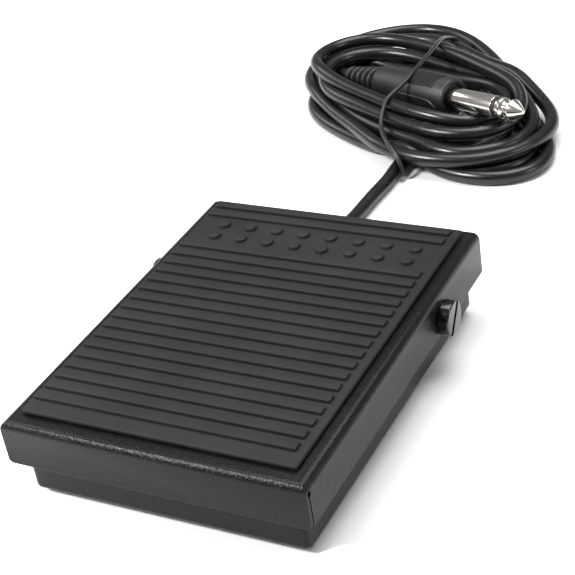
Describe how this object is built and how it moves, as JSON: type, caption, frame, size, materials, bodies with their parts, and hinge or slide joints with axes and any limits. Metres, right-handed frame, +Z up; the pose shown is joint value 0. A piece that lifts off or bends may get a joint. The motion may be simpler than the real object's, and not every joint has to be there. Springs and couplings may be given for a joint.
{
  "type": "sustain pedal",
  "caption": "Compact foot pedal: a ribbed rubber mat on a folded metal treadle, hinged over a folded metal base, with a cord wound in a bundle and a phone plug.",
  "frame": {"origin": "on the floor, under the middle of the treadle", "axes": "+Z up, the foot presses the -Y end, the cord leaves at +Y, the hinge line is along +X"},
  "size_m": [0.108, 0.2433, 0.024],
  "materials": {
    "powder_coat": "fine-grained black powder coat",
    "mat_rubber": "satin moulded rubber",
    "foot_rubber": "matte",
    "black_steel": "blackened, glossy",
    "zinc": "zinc plated",
    "nickel": "polished nickel",
    "brass": "tinned brass",
    "nylon": "natural nylon",
    "black_plastic": "moulded",
    "plug_plastic": "finely textured",
    "cord_jacket": "smooth flexible jacket",
    "tie_wire": "coated wire",
    "red_wire": "insulation",
    "white_wire": "insulation"
  },
  "bodies": {
    "base": {"base_tray": "powder_coat", "foot_front_left": "foot_rubber", "foot_front_right": "foot_rubber", "foot_rear_left": "foot_rubber", "foot_rear_right": "foot_rubber", "pivot_screw_left": "black_steel", "pivot_screw_right": "black_steel", "pivot_washer_left": "nylon", "pivot_washer_right": "nylon", "pivot_nut_left": "zinc", "pivot_nut_right": "zinc", "spring_seat": "black_plastic", "return_spring": "zinc", "rear_bumper_left": "foot_rubber", "rear_bumper_right": "foot_rubber", "stop_buffer_left": "foot_rubber", "stop_buffer_right": "foot_rubber", "switch_body": "black_plastic", "switch_bracket": "zinc", "switch_screw_1": "zinc", "switch_screw_2": "zinc", "bracket_screw_1": "zinc", "bracket_screw_2": "zinc", "switch_terminal_closed": "brass", "switch_terminal_open": "brass", "switch_terminal_common": "brass", "cord_grommet": "foot_rubber", "cord_inner": "cord_jacket", "cord_clamp": "black_plastic", "clamp_screw": "zinc", "wire_red": "red_wire", "wire_white": "white_wire", "cord_lead": "cord_jacket", "cord_coil": "cord_jacket", "cord_tail": "cord_jacket", "plug_boot": "plug_plastic", "plug_barrel": "plug_plastic", "plug_sleeve": "nickel", "plug_insulator": "black_plastic", "plug_tip": "nickel", "cord_tie": "tie_wire"},
    "treadle": {"treadle": "powder_coat", "treadle_mat": "mat_rubber", "spring_cup": "zinc", "actuator": "nylon"},
    "lever": {"switch_lever": "zinc"},
    "plunger": {"switch_plunger": "nylon"}
  },
  "joints": [
    {"name": "treadle_hinge", "type": "hinge", "parent": "base", "child": "treadle", "pos_m": [0, 0.0236, 0.0144], "axis": [1, 0, 0], "range_deg": [0, 5], "stiffness_Nm_per_rad": 4, "springref_deg": -4.58, "deforming": ["return_spring"]},
    {"name": "lever_hinge", "type": "hinge", "parent": "base", "child": "lever", "pos_m": [0.012, 0.0036, 0.0149], "axis": [1, 0, 0], "range_deg": [0, 13.5]},
    {"name": "plunger_slide", "type": "slide", "parent": "base", "child": "plunger", "axis": [0, 0, -1], "range_m": [0, 0.00056]}
  ],
  "couplings": [
    {"joint": "lever_hinge", "follows": "treadle_hinge", "ratio": 2.68},
    {"joint": "plunger_slide", "follows": "treadle_hinge", "m_per_rad": 0.0063}
  ]
}
